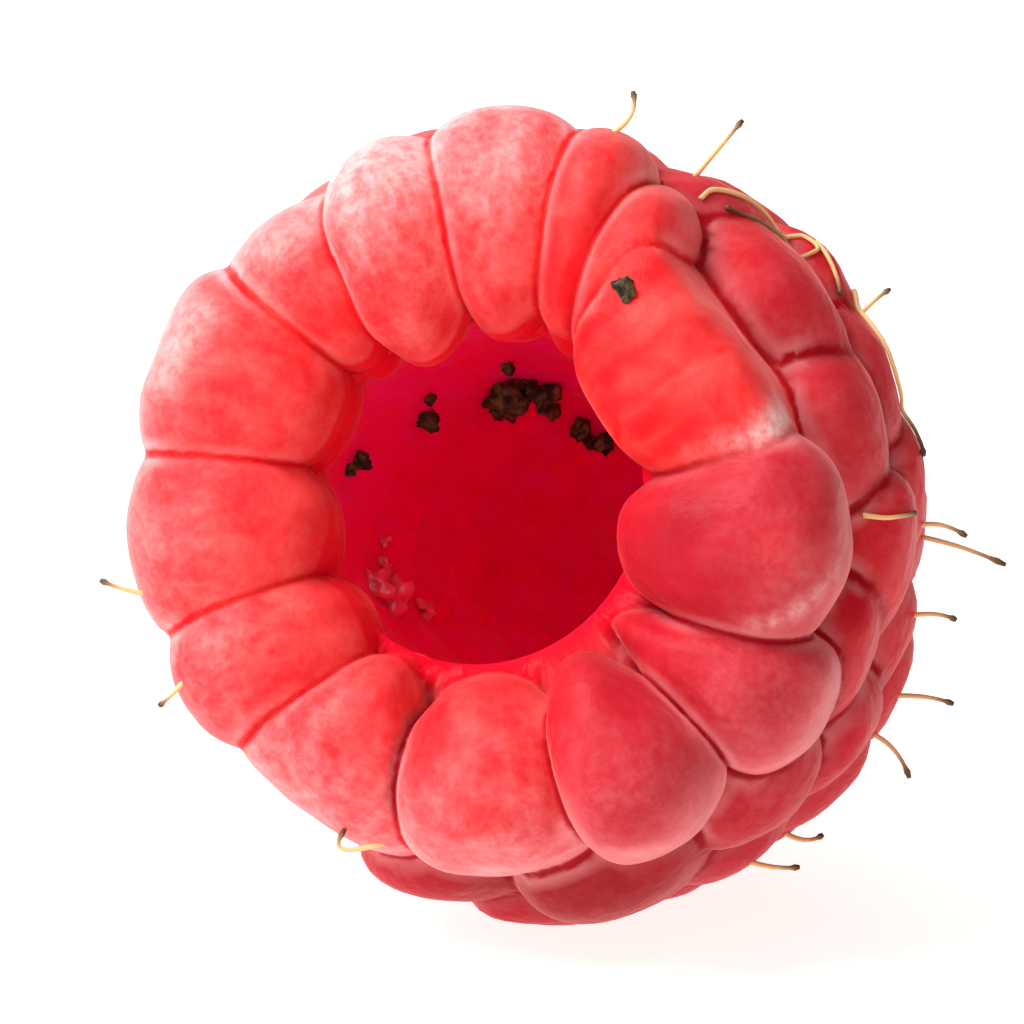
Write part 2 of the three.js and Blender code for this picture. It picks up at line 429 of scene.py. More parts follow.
def softenCreases(bm, owner):
    # finds the creases between drupelets, rounds them a little and gives each point's distance to one
    creases = []
    for edge in bm.edges:
        faces = edge.link_faces
        if len(faces) == 2 and owner[faces[0].index] != owner[faces[1].index]:
            creases.append(edge)
    finder = KDTree(len(creases))
    for i, edge in enumerate(creases):
        finder.insert((edge.verts[0].co + edge.verts[1].co) / 2, i)
    finder.balance()
    fromCrease = np.array([finder.find(v.co)[2] / mm for v in bm.verts])
    offFlats = [v for v in bm.verts if v.co.z > drupelets["flatEdge"] * mm]
    close = [v for v in offFlats if fromCrease[v.index] < drupelets["creaseRound"]]
    for step in range(drupelets["creaseSteps"]):
        bmesh.ops.smooth_vert(bm, verts=close, factor=0.5, use_axis_x=True, use_axis_y=True,
                              use_axis_z=True)
    return fromCrease


marks = dict(
    # painted highlights, riper spots that also paint shade on the underside, and painted shade where a
    # crease gapes: place, spread and how much
    # painted highlights where light catches the edges
    highlights=[
        ((5.95, 0.14, 1.15), 0.3, 0.1), ((6.4, 0.13, 1.28), 0.3, 0.15), ((6.81, 0.12, 1.42), 0.3, 0.25),
        ((7.2, 0.2, 1.55), 0.3, 0.4), ((7.53, 0.33, 1.7), 0.34, 0.65), ((7.75, 0.65, 1.93), 0.38, 0.8),
        ((7.85, 1.05, 2.16), 0.42, 0.95), ((7.8, 1.5, 2.4), 0.42, 0.85), ((7.73, 2.13, 2.45), 0.35, 0.5),
        ((8.5, 0.05, -1.5), 1, 0.04), ((7.77, 0.7, -2.85), 0.3, 0.2), ((8.29, 0.75, -2.72), 0.3, 0.3),
        ((8.77, 0.91, -2.4), 0.32, 0.35), ((9.2, 1.19, -1.9), 0.3, 0.3), ((9.46, 1.35, -1.34), 0.3, 0.2),
        ((-7.05, 0.11, 3.32), 0.5, 0.3), ((-7.38, 0.22, 2.75), 0.5, 0.3), ((-7.59, 0.34, 2.19), 0.45, 0.2),
        ((-6.65, 0.2, 3.81), 0.5, 0.2), ((-1.94, 0.04, 7.45), 0.8, 0.34), ((-2.27, -0.28, 7.06), 0.5, 0.15),
        ((-1.5, 0.75, 7.9), 0.6, 0.28), ((-3.2, 0.3, 6.9), 0.6, 0.25), ((-4.6, 0.8, 6.02), 0.5, 0.2),
        ((-5.21, 0.67, 5.52), 0.5, 0.2),
    ],
    # riper spots; those under the berry are painted shade where it lies
    ripeAndShaded=[
        ((6, -0.1, -1.6), 1.5, 0.3), ((6, -0.2, -0.2), 1.1, 0.35), ((8.6, 0, -1.2), 1, -0.3),
        ((1, 3.8, -9.4), 3, 0.7), ((4.5, 4.5, -9.2), 3, 0.7), ((7.5, 6, -7), 2.5, 0.4),
    ],
    # painted shade in the gaps between drupelets
    paintedShade=[
        ((-0.85, 2.3, -4.9), 0.6, 0.8), ((-0.8, 1.5, -5.8), 0.6, 0.9), ((-0.8, 1, -6.7), 0.6, 0.9),
        ((-0.9, 1, -7.7), 0.6, 0.8),
    ],
)
skin = dict(
    clear="#ee0e18",  # the pulp's own red
    cloudy="#fb4038",  # paler clouds in it
    flank="#bb0520",  # deeper, behind the rim: its own colour, darkened further as painted shade away from the lights
    brownedAndShaded="#941018",  # browner, where it is riper, and painted shade on the underside where it lies
    paintedShade="#9c0010",  # painted shade, down in the creases and at the inner ends
    mouth="#dc0424",  # the bare pulp where the core came away, at its edge
    wall="#ff0058",  # the hollow's wall further in, kept bright as painted light let through the wall
    hollow="#ff127a",  # and the paler clouds on it, over-bright as painted light let through the wall
    bloom="#ffaeb0",
    highlightColour="#ffdcd8",  # painted highlights, where light would catch the skin
    downy="#ff948c",  # red light caught in the down
    sheenOutline=0.4,  # share of painted sheen, in the bloom's colour, where a drupelet turns down to a crease
    dust=0.15,  # share of bloom on powdery drupelets
    creaseShadeWidth=0.65,  # mm that the painted crease shade reaches up a drupelet
    scatter=0.9,  # mm that red light travels in the flesh
    pulp=1.5,  # mm, size of the brighter and darker clouds
    wrinkle=0.8,  # mm between the faint wrinkles that run out from the root
    wrinkleLength=4,
    tuft=0.3,  # mm, the down's denser spots
    grain=0.07,  # mm, the fine down; its real hairs are thinner, drawn as coarse as it needs to show
    # how powdery and how ripe the rim's drupelets are, and how much painted sheen and highlight their edges
    # get; those towards the lights on the left are paler and more powdery, those on the right riper and
    # deeper, partly as painted light
    rimDust=[0.25, 0.35, 0.4, 2.4, 3, 1.5, 1.2, 1.2, 1.4, 1.8, 1.3, 0.6, 0.5, 0.3],
    rimRipe=[0.05, 0.3, 0.2, 0.1, 0, 0, 0.1, 0.15, 0.15, 0.25, 0.3, 0.95, 1, 1],
    rimEdgeSheen=[0.6, 0.6, 0.6, 1.1, 1.3, 1.3, 1.5, 0.9, 0.4, 0.5, 1, 1, 1, 0.8],
)
ripeness = dict(
    # the drupelets behind the rim; those on the side towards the lights are made paler and more powdery:
    # partly real bloom, partly painted light
    tone=0.85,
    toneSpread=0.15,
    litTone=-0.5,
    dust=0.2,
    dustSpread=0.15,
    litDust=0.9,
    litSide=150 * degree,  # from +X towards +Z, the side towards the lights
    litReach=(3, 16),  # mm behind the rim between which that fades
    creaseShade=0.75,  # how far the painted crease shade reaches out of their creases
    rimCreaseShade=0.15,  # and on the rim
    ripeRimCreaseShade=0.4,  # with this much more where it is fully ripe
    blend=0.03,  # how softly one drupelet's colour passes into the next
)
rubbing = dict(
    # the down is rubbed off where the rim curls back
    openSide=(0.25, -0.97, 0),  # the way the open end faces
    gone=0.6,  # share of the bloom that is gone
    curled=(-0.7, 0.1),  # how far the skin faces the open side where it is gone and where it is whole
)
sheenEdge = dict(
    # the painted sheen, a pale line where a drupelet turns down; a pair says between which values it
    # changes
    grows=(0.06, 0.16),  # mm from the crease
    fades=(0.25, 0.6),
    turned=(0.15, 0.5),  # how far the skin is turned aside
    outward=(0.2, 0.5),  # share of the drupelet's length
    atRoot=0.3,  # share of the line at the inner end
    aside=0.7,  # weight of the outward direction in how far the skin is turned
    # and the painted highlight on the rim's outer ends
    endFacing=0.1,
    endSpread=0.4,
    endOutward=(0.45, 0.75),
    endShare=0.7,
)
hollowEdge = dict(
    # between which values the skin passes into the hollow's wall
    spread=(1.03, 1.22),  # reach in the hollow's own radius
    crease=(-1.8, 0.6),  # mm behind the mouth's depth, for what counts as a drupelet
    colour=(-2, 3),  # and for the colour
)


def placesInBerry(items, name):
    # places of a mesh's points or faces in the berry's own frame, in mm
    toBerry = np.array(toFrame.inverted())
    places = np.empty(len(items) * 3)
    items.foreach_get(name, places)
    return places.reshape(-1, 3) @ toBerry[:3, :3].T + toBerry[:3, 3]


def hollowness(places, depths):
    # 1 on the hollow's wall, 0 off it, growing between two depths in mm behind the mouth's own
    inner = places - np.array((0, hollow["widestDepth"], 0))
    reach = np.where(inner[:, 1] > 0, hollow["noseLength"], hollow["shoulderLength"])
    spread = np.hypot(np.hypot(inner[:, 0], inner[:, 2]) / hollow["radius"], inner[:, 1] / reach)
    wall = 1 - smoothStep(*hollowEdge["spread"], spread)
    return wall * smoothStep(*depths, places[:, 1] - mouthDepth)


def faceOwners(mesh, placed):
    # which drupelet each face belongs to; the hollow's wall counts as one more
    centres = placesInBerry(mesh.polygons, "center")
    owner = pillowLevels(centres, placed).argmin(axis=0)
    owner[hollowness(centres, hollowEdge["crease"]) > 0.5] = len(placed)
    return owner


def spotMarks(points, shares, placed):
    # how much painted highlight each point gets, how much riper it is with painted shade on the underside,
    # and how much painted shade deepens its crease
    def around(place, spread):
        return np.exp(-np.sum((points - np.array(place)) ** 2, axis=1) / spread ** 2)

    paintedHighlight = np.zeros(len(points))
    for place, spread, much in marks["highlights"]:
        own = pillowLevels(np.array([place]), placed)[:, 0].argmin()
        paintedHighlight = np.maximum(paintedHighlight, much * around(place, spread) * shares[own])
    riper = sum(much * around(place, spread) for place, spread, much in marks["ripeAndShaded"])
    deeper = sum(much * around(place, spread) for place, spread, much in marks["paintedShade"])
    return paintedHighlight, riper, deeper


def drupeletLooks(placed):
    # how ripe and how powdery each drupelet is, paler and more powdery towards the lights as partly painted
    # light, and how far the painted crease shade reaches out of its creases
    tones = list(skin["rimRipe"])
    dusts = list(skin["rimDust"])
    creaseShades = [ripeness["rimCreaseShade"] + ripeness["ripeRimCreaseShade"] * tone for tone in tones]
    for i, drupelet in enumerate(placed[len(tones):], len(tones)):
        # painted light: paler and more powdery on the side towards the lights
        towardsLight = max(0, math.cos(drupelet["around"] - ripeness["litSide"]))
        towardsLight *= 1 - smoothStep(*ripeness["litReach"], drupelet["middle"].y)
        tone = ripeness["tone"] + ripeness["toneSpread"] * draw(i, 11)
        dust = ripeness["dust"] + ripeness["dustSpread"] * draw(i, 12)
        tones.append(tone + ripeness["litTone"] * towardsLight)
        dusts.append(dust + ripeness["litDust"] * towardsLight)
        creaseShades.append(ripeness["creaseShade"])
    return np.array(tones), np.array(dusts), np.array(creaseShades)


def cornerMarks(placed, owner, points, normals, fromCrease):
    # for each face corner its place within its drupelet, how far out it is there and how much painted sheen
    # and highlight its edge gets
    within = points[:, (0, 2, 1)]  # in the hollow, streaks run in from its mouth
    outward = np.zeros(len(points))
    paintedEdgeSheen = np.zeros(len(points))
    for i, drupelet in enumerate(placed):
        own = owner == i
        places = inDrupelet(points[own], drupelet)
        length = drupelet["rootLength"] + drupelet["cap"]
        within[own] = places + 20.0 * i  # apart, so that no two drupelets share a pattern
        outward[own] = (places[:, 2] + drupelet["rootLength"]) / length
        outwards = sheenEdge["aside"] * (normals[own] @ np.array(drupelet["axis"]))
        forwards = normals[own] @ np.array(rubbing["openSide"])
        facing = np.maximum(outwards, forwards) if drupelet["onRim"] else 1 - sheenEdge["aside"] + outwards
        distance = fromCrease[own]
        line = smoothStep(*sheenEdge["grows"], distance) * (1 - smoothStep(*sheenEdge["fades"], distance))
        line *= smoothStep(*sheenEdge["turned"], 1 - facing)
        farOut = smoothStep(*sheenEdge["outward"], outward[own])
        paintedEdgeSheen[own] = line * (sheenEdge["atRoot"] + (1 - sheenEdge["atRoot"]) * farOut)
        if drupelet["onRim"]:
            # painted highlight along the rim's outer ends
            atEnd = np.exp(-((forwards - sheenEdge["endFacing"]) / sheenEdge["endSpread"]) ** 2)
            atEnd *= sheenEdge["endShare"] * smoothStep(*sheenEdge["endOutward"], outward[own])
            paintedEdgeSheen[own] = np.maximum(paintedEdgeSheen[own], atEnd) * skin["rimEdgeSheen"][i]
    return within, outward, paintedEdgeSheen


def markBerry(berry, placed):
    # every point and face corner learns what the skin's material has to know about its place
    mesh = berry.data
    owner = faceOwners(mesh, placed)
    bm = bmesh.new()
    bm.from_mesh(mesh)
    for face in bm.faces:
        face.smooth = True
    fromCrease = softenCreases(bm, owner)
    bm.to_mesh(mesh)
    bm.free()

    points = placesInBerry(mesh.vertices, "co")
    levels = pillowLevels(points, placed)
    shares = np.exp((levels.min(axis=0) - levels) / ripeness["blend"])
    shares /= shares.sum(axis=0)
    paintedHighlight, riper, deeper = spotMarks(points, shares, placed)
    tones, dusts, creaseShades = drupeletLooks(placed)

    normals = np.empty(len(mesh.vertices) * 3)
    mesh.vertices.foreach_get("normal", normals)
    normals = normals.reshape(-1, 3) @ np.array(toFrame.inverted())[:3, :3].T * mm
    forwards = normals @ np.array(rubbing["openSide"])
    curledBack = 1 - smoothStep(*rubbing["curled"], forwards)
    onRim = shares[:len(rim["row"])].sum(axis=0)
    powder = dusts @ shares * (1 - rubbing["gone"] * curledBack * onRim)

    corner = np.empty(len(mesh.loops), dtype=np.int32)
    mesh.loops.foreach_get("vertex_index", corner)
    sides = np.empty(len(mesh.polygons), dtype=np.int32)
    mesh.polygons.foreach_get("loop_total", sides)
    within, outward, paintedEdgeSheen = cornerMarks(placed, np.repeat(owner, sides), points[corner], normals[corner],
                                         fromCrease[corner])
    layers = dict(
        tone=tones @ shares + riper,
        paintedHighlight=paintedHighlight,
        dust=powder,
        creaseShade=creaseShades @ shares + deeper,
        fromCrease=fromCrease,
        inside=hollowness(points, hollowEdge["colour"]),
        within=within,
        outward=outward,
        paintedEdgeSheen=paintedEdgeSheen,
    )
    for name, values in layers.items():
        kind, key = ("FLOAT", "value") if values.ndim == 1 else ("FLOAT_VECTOR", "vector")
        domain = "POINT" if len(values) == len(points) else "CORNER"
        layer = mesh.attributes.new(name, kind, domain)
        layer.data.foreach_set(key, values.astype(np.float32).ravel())


def makeDrupeletSkin():
    # Raspberry skin: a thin watery film over red pulp, covered in fine pale down.
    # Light soaks in and comes out red; the creases carry painted shade, the edges a painted pink sheen and
    # highlights, and the gloss is soft.
    material, tree = newMaterial("raspberrySkin")
    within = addNode(tree, "ShaderNodeAttribute", attribute_name="within").outputs["Vector"]
    outward, tone, dust, fromCrease, paintedEdgeSheen, creaseShade, inside, paintedHighlight = (
        addNode(tree, "ShaderNodeAttribute", attribute_name=name).outputs["Fac"]
        for name in ("outward", "tone", "dust", "fromCrease", "paintedEdgeSheen", "creaseShade", "inside", "paintedHighlight")
    )

    # pulp: clouds, and streaks from the root outwards
    clouds = addNode(tree, "ShaderNodeTexNoise",
                     {"Vector": within, "Scale": 1 / skin["pulp"], "Detail": 4.0, "Roughness": 0.6,
                      "Distortion": 0.3})
    drawnOut = addNode(tree, "ShaderNodeMapping",
                       {"Vector": within,
                        "Scale": (1 / skin["wrinkle"], 1 / skin["wrinkle"], 1 / skin["wrinkleLength"])})
    streaks = addNode(tree, "ShaderNodeTexNoise",
                      {"Vector": drawnOut.outputs[0], "Scale": 1.0, "Detail": 2.0, "Roughness": 0.45,
                       "Distortion": 0.3})
    mixed = addNode(tree, "ShaderNodeMix",
                    {"Factor": 0.4, 2: clouds.outputs["Fac"], 3: streaks.outputs["Fac"]}, data_type="FLOAT")
    cloudiness = addNode(tree, "ShaderNodeMapRange",
                         {"Value": mixed.outputs[0], "From Min": 0.38, "From Max": 0.66},
                         interpolation_type="SMOOTHSTEP")
    shone = addNode(tree, "ShaderNodeMix",
                    {"Factor": cloudiness.outputs[0], 6: srgb(skin["clear"]), 7: srgb(skin["cloudy"])},
                    data_type="RGBA")
    riperAndShaded = addNode(tree, "ShaderNodeMapRange",
                       {"Value": tone, "From Min": 1.0, "From Max": 2.0}, interpolation_type="SMOOTHSTEP")

    # painted shade: deep red in the creases and at the inner ends
    reach = addNode(tree, "ShaderNodeMath", {0: creaseShade, 1: skin["creaseShadeWidth"]}, operation="MULTIPLY")
    depth = addNode(tree, "ShaderNodeMapRange",
                    {"Value": fromCrease, "From Min": 0.0, "From Max": reach.outputs[0], "To Min": 1.0,
                     "To Max": 0.0},
                    interpolation_type="SMOOTHSTEP")
    rootShade = addNode(tree, "ShaderNodeMapRange",
                     {"Value": outward, "From Min": 0.0, "From Max": 0.35, "To Min": 0.25, "To Max": 0.0},
                     interpolation_type="SMOOTHSTEP")
    sunk = addNode(tree, "ShaderNodeMath",
                   {0: depth.outputs[0], 1: creaseShade, 2: rootShade.outputs[0]}, operation="MULTIPLY_ADD")

    # bloom: patchy and thicker towards the outer end, plus painted sheen where the skin turns down to a
    # crease
    sheenOutline = addNode(tree, "ShaderNodeMath", {0: paintedEdgeSheen, 1: skin["sheenOutline"]}, operation="MULTIPLY")
    patches = addNode(tree, "ShaderNodeMapRange",
                      {"Value": mixed.outputs[0], "From Min": 0.38, "From Max": 0.62,
                       "To Min": 0.5 * skin["dust"], "To Max": 1.5 * skin["dust"]})
    thicker = addNode(tree, "ShaderNodeMapRange",
                      {"Value": outward, "From Min": 0.2, "From Max": 1.0, "To Min": 0.35, "To Max": 1.3},
                      interpolation_type="SMOOTHSTEP")
    fuzz = addNode(tree, "ShaderNodeTexNoise",
                   {"Vector": within, "Scale": 1 / skin["tuft"], "Detail": 3.0, "Roughness": 0.65})
    tufted = addNode(tree, "ShaderNodeMapRange",
                     {"Value": fuzz.outputs["Fac"], "From Min": 0.35, "From Max": 0.65, "To Min": 0.6,
                      "To Max": 1.4})
    downy = addNode(tree, "ShaderNodeMath", {0: patches.outputs[0], 1: tufted.outputs[0]},
                    operation="MULTIPLY")
    settled = addNode(tree, "ShaderNodeMath", {0: downy.outputs[0], 1: thicker.outputs[0]},
                      operation="MULTIPLY")
    own = addNode(tree, "ShaderNodeMath", {0: settled.outputs[0], 1: dust, 2: sheenOutline.outputs[0]},
                  operation="MULTIPLY_ADD")
    cleared = addNode(tree, "ShaderNodeMapRange",
                      {"Value": fromCrease, "From Min": 0.05, "From Max": 0.22},
                      interpolation_type="SMOOTHSTEP")
    powder = addNode(tree, "ShaderNodeMath", {0: own.outputs[0], 1: cleared.outputs[0]},
                     operation="MULTIPLY")
    # painted highlights where light would catch the skin
    highlighted = addNode(tree, "ShaderNodeMath", {0: paintedHighlight, 1: tufted.outputs[0]}, operation="MULTIPLY")

    # the hollow: bare pulp at its edge, clouded further in
    entering = addNode(tree, "ShaderNodeMapRange", {"Value": inside, "From Max": 0.3})
    deeper = addNode(tree, "ShaderNodeMapRange", {"Value": inside, "From Min": 0.5, "From Max": 1.0})
    wall = addNode(tree, "ShaderNodeMix",
                   {"Factor": cloudiness.outputs[0], 6: srgb(skin["wall"]), 7: srgb(skin["hollow"])},
                   data_type="RGBA")

    # each layer covers its share of those below it
    colour = shone.outputs[2]
    for share, over in (
        (tone, srgb(skin["flank"])),
        # browner where riper, and painted shade on the underside
        (riperAndShaded.outputs[0], srgb(skin["brownedAndShaded"])),
        # painted shade in the creases and at the inner ends
        (sunk.outputs[0], srgb(skin["paintedShade"])),
        # bloom, with painted sheen at the edges
        (powder.outputs[0], srgb(skin["bloom"])),
        # painted highlights
        (highlighted.outputs[0], srgb(skin["highlightColour"])),
        (entering.outputs[0], srgb(skin["mouth"])),
        (deeper.outputs[0], wall.outputs[2]),
    ):
        layer = addNode(tree, "ShaderNodeMix", {"Factor": share, 6: colour, 7: over}, data_type="RGBA")
        colour = layer.outputs[2]

    # relief: soft wrinkles and fine down
    softly = addNode(tree, "ShaderNodeBump",
                     {"Height": mixed.outputs[0], "Strength": 0.8, "Distance": 0.3 * mm})
    down = addNode(tree, "ShaderNodeTexNoise",
                   {"Vector": within, "Scale": 1 / skin["grain"], "Detail": 2.0})
    finely = addNode(tree, "ShaderNodeBump",
                     {"Height": down.outputs["Fac"], "Strength": 0.4, "Distance": 0.015 * mm,
                      "Normal": softly.outputs[0]})
    shader = addNode(tree, "ShaderNodeBsdfPrincipled", {
        "Base Color": colour,
        "Normal": finely.outputs[0],
        "Roughness": 0.45,
        "IOR": 1.38,
        "Subsurface Weight": 0.75,
        "Subsurface Radius": (1.0, 0.2, 0.18),
        "Subsurface Scale": skin["scatter"] * mm,
        "Specular IOR Level": 0.15,
        "Sheen Weight": 0.4,
        "Sheen Roughness": 0.3,
        "Sheen Tint": srgb(skin["downy"]),
    })
    addNode(tree, "ShaderNodeOutputMaterial", {"Surface": shader.outputs[0]})
    return material


styles = dict(
    rootRadius=0.07,
    neckRadius=0.045,
    knobRadius=0.085,  # the stigma at its end
    knobEnd=0.6,  # the stigma's flat end over its width
    steps=10,
    sides=6,
    sunk=0.1,  # how deep the root sits in the skin
    lift=0.04,  # how far the lying ones are off the skin
    easing=8,  # rounds that smooth their path
    # the seeded ones
    length=1.3,
    lengthSpread=0.5,
    kept=0.4,  # share of the drupelets away from the mouth that still carry theirs
    keptFrom=10.3,  # mm behind the rim
    splay=0.6,  # how far they lean from the drupelet's axis
    bendAt=0.55,  # share of the length where they bend, and how far they curl from there
    curl=0.7,
    outside=9,  # mm above a drupelet's middle from where its skin is looked for
    rootHeight=1.0,  # least height of the root and of the tip above the surface
    tipHeight=0.4,
    reach=0.5,  # how far one may stand out of the berry's box
    stemColour="#f4c488",
    stigmaColour="#5a3c20",
    # the longest lasting ones, each from its root over its bend to its tip
    standing=[
        ((-7.92, 1.23, -3.1), (-8.38, 1.08, -3.1), (-8.93, 0.9, -2.88)),
        ((-6.64, 1.03, -5.27), (-6.82, 1, -5.53), (-7.14, 0.93, -5.85)),
        ((-1.54, 2.05, -8.72), (-2.9, 1.7, -9.3), (-2.37, 1.78, -8.43)),
        ((9.2, 9.67, 0.57), (9.66, 9.8, 0.74), (10.26, 10.01, 0.38)),
        ((8.39, 12.66, 0.49), (9.32, 12.96, 0.4), (10.39, 13.31, 0)),
        ((9.19, 9.79, -1.65), (9.7, 9.95, -1.5), (10.17, 10.1, -1.68)),
        ((7.88, 13.6, -3.4), (8.6, 13.8, -3.3), (9.19, 14, -3.48)),
        ((7.33, 13.69, -4.41), (7.9, 13.9, -4.6), (8.22, 14.04, -5.39)),
        ((6.09, 8.17, -8.12), (6.65, 8.35, -8.25), (7.22, 8.52, -8.12)),
        ((5.37, 13.44, -7.04), (5.89, 13.61, -7.3), (6.24, 13.7, -6.96)),
        ((2.72, 2.08, 9.01), (3.3, 2.18, 9.45), (3.06, 2.1, 10.03)),
        ((3.78, 5.68, 8.41), (4.4, 5.79, 9.3), (4.79, 5.88, 9.87)),
    ],
    # long ones that lie along the creases
    lying=[
        ((4.3, 4.48, 7.7), (4.4, 4.9, 7.95), (5.17, 6.11, 7.82), (5.91, 7.9, 7.32), (6.5, 7.76, 6.94),
         (6.3, 7, 6.85), (5.46, 5.24, 7.35), (4.77, 4.73, 7.56)),
        ((6.3, 7.9, 7.1), (6.9, 7.68, 6.41), (7.3, 7.6, 5.9)),
        ((7.15, 8.59, 6.09), (8.11, 7.78, 4.96), (8.62, 8.21, 3.8), (8.65, 9.31, 3.05), (9.2, 9.07, 2.08)),
        ((9.06, 4.76, 0.3), (9.53, 5.16, 0.29), (9.88, 6.45, 0.61)),
    ],
)


def skinOf(berry):
    # finds places on the berry's skin, in mm in its own frame
    toBerry = toFrame.inverted()
    return BVHTree.FromPolygons([toBerry @ v.co for v in berry.data.vertices],
                                [p.vertices for p in berry.data.polygons])


def curved(root, bend, tip):
    steps = [i / styles["steps"] for i in range(styles["steps"] + 1)]
    return [root.lerp(bend, t).lerp(bend.lerp(tip, t), t) for t in steps]


def laidDown(skinFinder, corners):
    # a path from corner to corner that stays just off the skin
    corners = [Vector(c) for c in corners]
    steps = [i / styles["steps"] for i in range(styles["steps"])]
    path = [a.lerp(b, t) for a, b in zip(corners, corners[1:]) for t in steps]
    for step in range(styles["easing"]):
        eased = [(a + 2 * b + c) / 4 for a, b, c in zip(path, path[1:], path[2:])]
        path = [path[0], *eased, path[-1]]
        for i, place in enumerate(path):
            foot, out = skinFinder.find_nearest(place)[:2]
            path[i] = foot + out * (styles["rootRadius"] * 0.5 + styles["lift"])
    return path


def growStyle(bm, along, path):
    # one dried style: a disc drawn out along its path, thinning to a neck and then widening to a knob
    last = len(path) - 1
    heading = (path[1] - path[0]).normalized()
    start = Matrix.Translation(path[0]) @ heading.to_track_quat("Z", "Y").to_matrix().to_4x4()
    disc = bmesh.ops.create_circle(bm, segments=styles["sides"], radius=styles["rootRadius"],
                                   cap_ends=True, matrix=start)["verts"]
    faces = list({f for v in disc for f in v.link_faces})
    radius = styles["rootRadius"]
    for i in range(1, last + 1):
        t = i / last
        grown = bmesh.ops.extrude_face_region(bm, geom=faces)["geom"]
        if i > 1:
            bmesh.ops.delete(bm, geom=faces, context="FACES_ONLY")
        ends = [g for g in grown if isinstance(g, bmesh.types.BMVert)]
        faces = [g for g in grown if isinstance(g, bmesh.types.BMFace)]
        bmesh.ops.translate(bm, verts=ends, vec=path[i] - path[i - 1])
        newHeading = (path[min(i + 1, last)] - path[i - 1]).normalized()
        bmesh.ops.rotate(bm, verts=ends, cent=path[i],
                         matrix=heading.rotation_difference(newHeading).to_matrix())
        heading = newHeading
        taper = styles["rootRadius"] + (styles["neckRadius"] - styles["rootRadius"]) * t
        knob = {last - 1: styles["knobRadius"], last: styles["knobEnd"] * styles["knobRadius"]}
        wanted = knob.get(i, taper)
        bmesh.ops.scale(bm, verts=ends, vec=(wanted / radius,) * 3, space=Matrix.Translation(-path[i]))
        radius = wanted
        for v in ends:
            v[along] = t


def seededStyle(skinFinder, drupelet):
    # root, bend and tip of the style on one drupelet, or nothing where it has lost its own
    index, sideways, lengthways = drupelet["index"], drupelet["sideways"], drupelet["lengthways"]
    if drupelet["onRim"] or drupelet["middle"].y < styles["keptFrom"]:
        return None
    if 0.5 + 0.5 * draw(index, 20) > styles["kept"]:
        return None
    lean = sideways * draw(index, 21) + lengthways * draw(index, 22)
    heading = (drupelet["axis"] + styles["splay"] * lean).normalized()
    length = styles["length"] + styles["lengthSpread"] * draw(index, 25)
    foot = skinFinder.ray_cast(drupelet["middle"] + heading * styles["outside"], -heading)[0]
    bend = foot + heading * styles["bendAt"] * length
    curl = styles["curl"] * (sideways * draw(index, 23) + lengthways * draw(index, 24))
    tip = bend + (heading + curl) * 0.5 * length
    placedTip = toFrame @ tip
    if placedTip.z < styles["tipHeight"] * mm or (toFrame @ foot).z < styles["rootHeight"] * mm:
        return None
    if any(c > high + styles["reach"] * mm for c, high in zip(placedTip, cadBox[1])):
        return None
    return foot - heading * styles["sunk"], bend, tip


def makeStyles(placed, berry):
    bm = bmesh.new()
    along = bm.verts.layers.float.new("along")
    skinFinder = skinOf(berry)
    for root, bend, tip in styles["standing"]:
        bend = Vector(bend)
        foot = skinFinder.find_nearest(Vector(root))[0]
        foot -= (bend - foot).normalized() * styles["sunk"]
        growStyle(bm, along, curved(foot, bend, Vector(tip)))
    for corners in styles["lying"]:
        growStyle(bm, along, laidDown(skinFinder, corners))
    for drupelet in placed:
        grown = seededStyle(skinFinder, drupelet)
        if grown:
            growStyle(bm, along, curved(*grown))
    bmesh.ops.recalc_face_normals(bm, faces=bm.faces)
    for face in bm.faces:
        face.smooth = True
    bm.transform(toFrame)
    return meshObject("styles", bm)


def makeStyleSkin():
    # Dried flower style: a stiff golden thread that turns brown and dull towards its stigma.
    material, tree = newMaterial("driedStyle")
    along = addNode(tree, "ShaderNodeAttribute", attribute_name="along").outputs["Fac"]
    ramp = addNode(tree, "ShaderNodeValToRGB", {"Fac": along})
    ramp.color_ramp.elements[0].color = srgb(styles["stemColour"])
    ramp.color_ramp.elements[1].color = srgb(styles["stigmaColour"])
    ramp.color_ramp.elements[0].position = 0.55
    ramp.color_ramp.elements[1].position = 0.95
    shader = addNode(tree, "ShaderNodeBsdfPrincipled", {
        "Base Color": ramp.outputs[0],
        "Roughness": 0.6,
        "Subsurface Weight": 0.3,
        "Subsurface Radius": (1.0, 0.6, 0.3),
        "Subsurface Scale": 0.1 * mm,
    })
    addNode(tree, "ShaderNodeOutputMaterial", {"Surface": shader.outputs[0]})
    return material


crumbs = dict(
    # dried bits of the flower, most of them in the hollow: each one's place by the skin and its width
    row=[
        ((-1.59, 8.93, 3.74), 0.35), ((-1.98, 10.12, 3.19), 0.85), ((-2.31, 10.77, 2.83), 0.45),
        ((-1.58, 10.4, 3.41), 0.6), ((-1.24, 11.02, 3.33), 0.7), ((-1.2, 11.82, 3.01), 0.45),
        ((-0.66, 12.68, 2.72), 0.6), ((-0.18, 13.17, 2.4), 0.5), ((-0.5, 12.95, 2.2), 0.35),
        ((-3.47, 8.61, 2.29), 0.5), ((-3.26, 8.08, 2.73), 0.3),
        ((-4.3, 6.03, 0.9), 0.45), ((-4.35, 5.6, 0.6), 0.3),
        ((3.99, 0.02, 4.98), 0.45), ((4.1, 0.1, 4.7), 0.25),
    ],
    press=0.2,  # share of its width that is sunk in the flesh
    crumple=0.6,
    flake=0.25,  # mm, size of the flakes
    foldColour="#1c1006",
    edgeColour="#6c6030",
)
